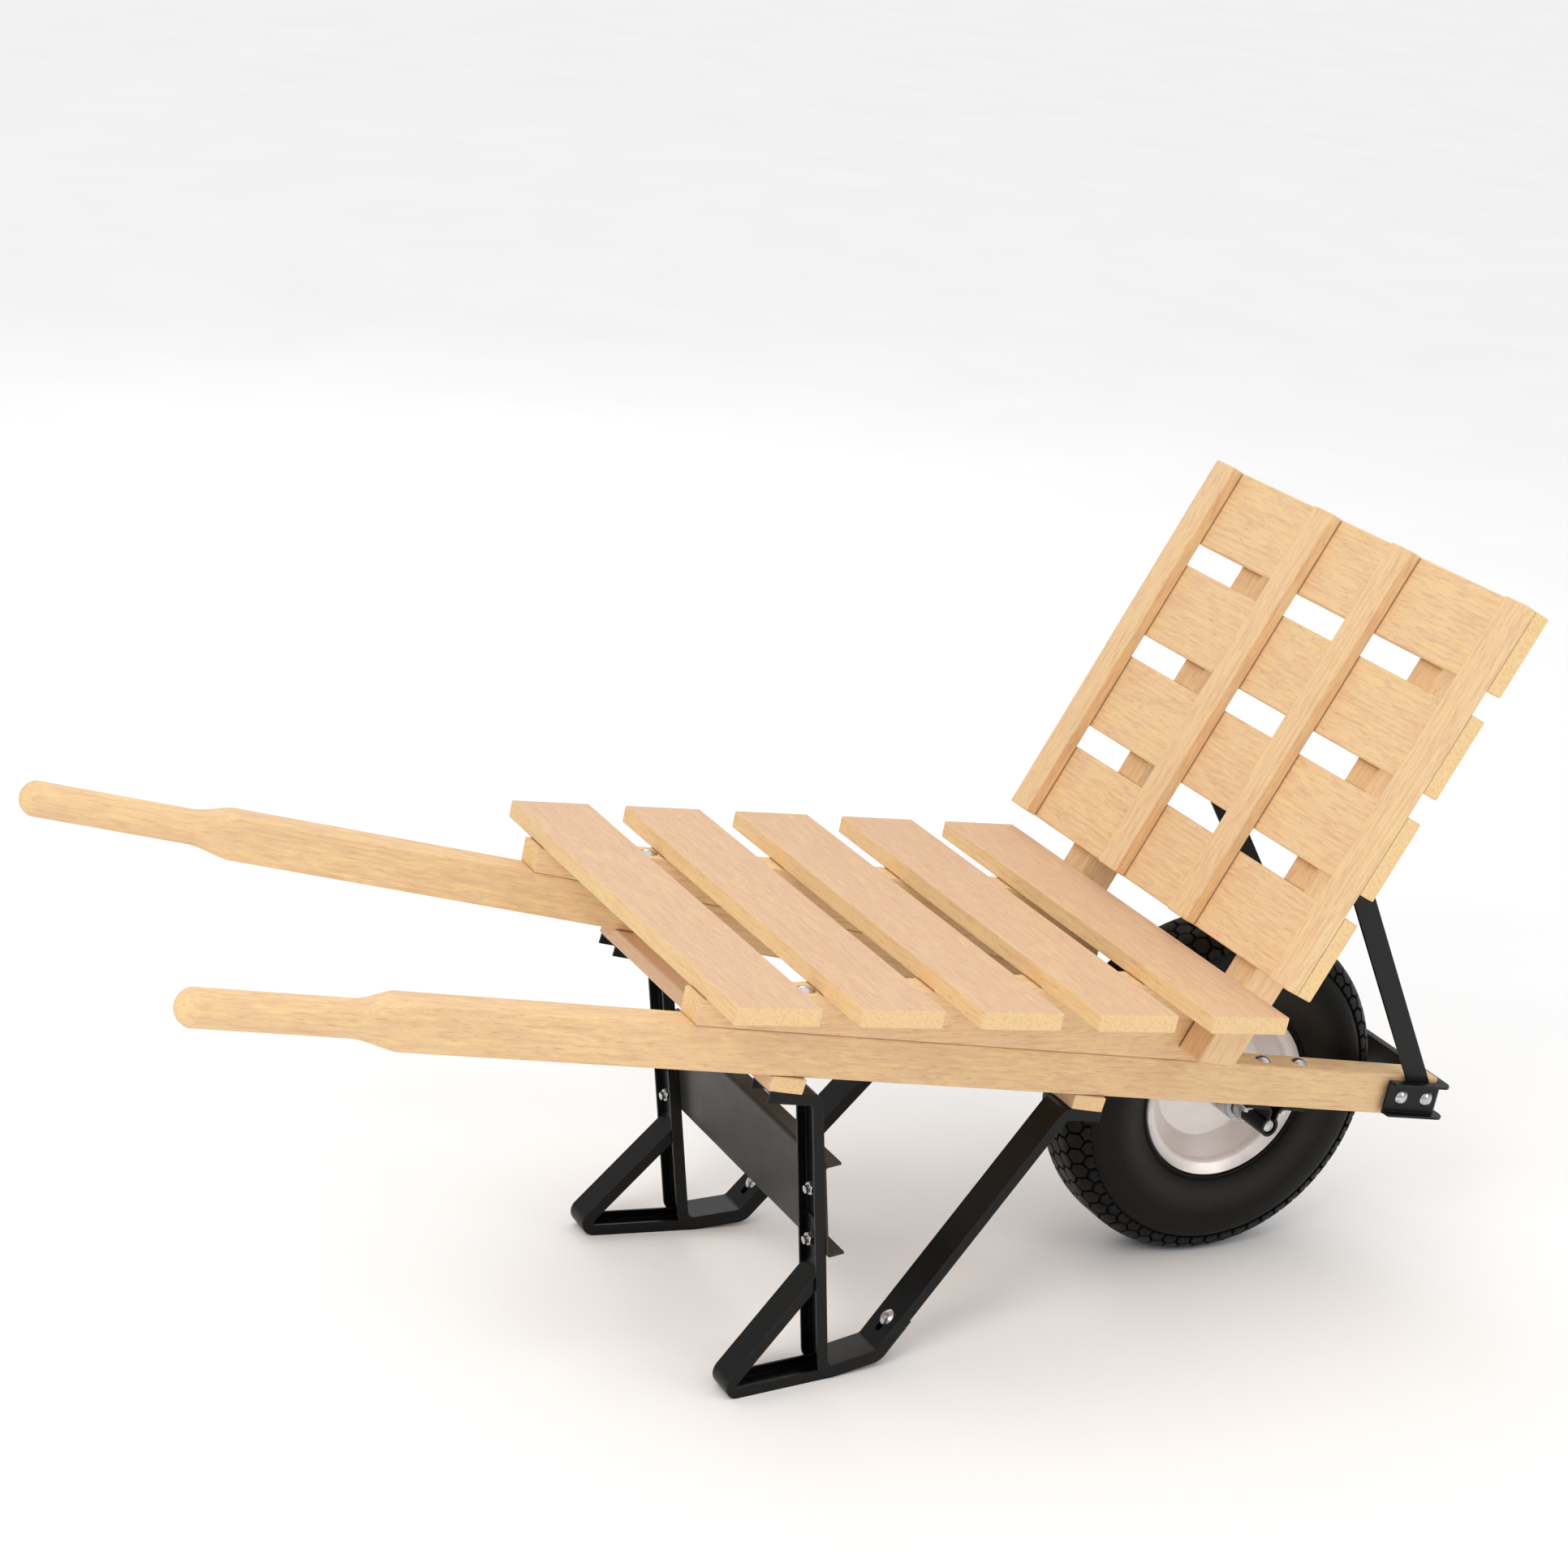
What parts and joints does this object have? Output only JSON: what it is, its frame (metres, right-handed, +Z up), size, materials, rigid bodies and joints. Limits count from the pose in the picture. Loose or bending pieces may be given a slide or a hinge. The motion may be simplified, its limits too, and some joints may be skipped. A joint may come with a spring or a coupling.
{
  "type": "brick barrow",
  "caption": "Single-wheel brick barrow: flat slatted wooden bed, forward-leaning slatted dash, two long push handles, bent steel legs and a pneumatic wheel.",
  "frame": {"origin": "on the ground, below the middle of the barrow's bounding box", "axes": "+X forward toward the wheel, +Y to the operator's left, +Z up"},
  "size_m": [1.4945, 0.5582, 0.8074],
  "materials": {
    "wood": "smooth, clear-sealed pale hardwood",
    "black_steel": "satin black powder coat",
    "zinc": "bright zinc plate",
    "bare_steel": "plain steel",
    "rim_silver": "satin silver paint",
    "tyre_rubber": "matte black rubber",
    "soft_rubber": "matte black rubber"
  },
  "bodies": {
    "frame": {"axle": "bare_steel", "axle_bracket_left": "black_steel", "axle_bracket_right": "black_steel", "axle_collar_left": "bare_steel", "axle_collar_right": "bare_steel", "bed_slat_1": "wood", "bed_slat_2": "wood", "bed_slat_3": "wood", "bed_slat_4": "wood", "bed_slat_5": "wood", "brace_bolt_nuts": "zinc", "brace_bolts": "zinc", "bracket_bolt_nuts": "zinc", "bracket_bolts": "zinc", "crossbar_bolt_nuts": "zinc", "crossbar_bolts": "zinc", "crossbar_front": "wood", "crossbar_rear": "wood", "dash_batten_1": "wood", "dash_batten_2": "wood", "dash_batten_3": "wood", "dash_batten_4": "wood", "dash_board_1": "wood", "dash_board_2": "wood", "dash_board_3": "wood", "dash_board_4": "wood", "dash_brace_bolt_nuts": "zinc", "dash_brace_bolts": "zinc", "dash_brace_left": "black_steel", "dash_brace_right": "black_steel", "dash_post_left": "wood", "dash_post_right": "wood", "handle_left": "wood", "handle_right": "wood", "leg_cross_brace": "black_steel", "leg_left": "black_steel", "leg_right": "black_steel", "leg_shoe_left": "black_steel", "leg_shoe_right": "black_steel", "nose_bar": "black_steel", "nose_bolt_nuts": "zinc", "nose_bolts": "zinc", "riser_left": "wood", "riser_right": "wood", "shoe_bolt_nuts": "zinc", "shoe_bolts": "zinc"},
    "wheel": {"bearing_left": "bare_steel", "bearing_right": "bare_steel", "hub": "bare_steel", "inner_tube": "soft_rubber", "rim": "rim_silver", "tyre": "tyre_rubber", "valve_cap": "soft_rubber", "valve_stem": "soft_rubber"}
  },
  "joints": [
    {"name": "wheel_spin", "type": "hinge", "parent": "frame", "child": "wheel", "pos_m": [0.50198, 0, 0.191], "axis": [0, 1, 0], "continuous": true}
  ]
}
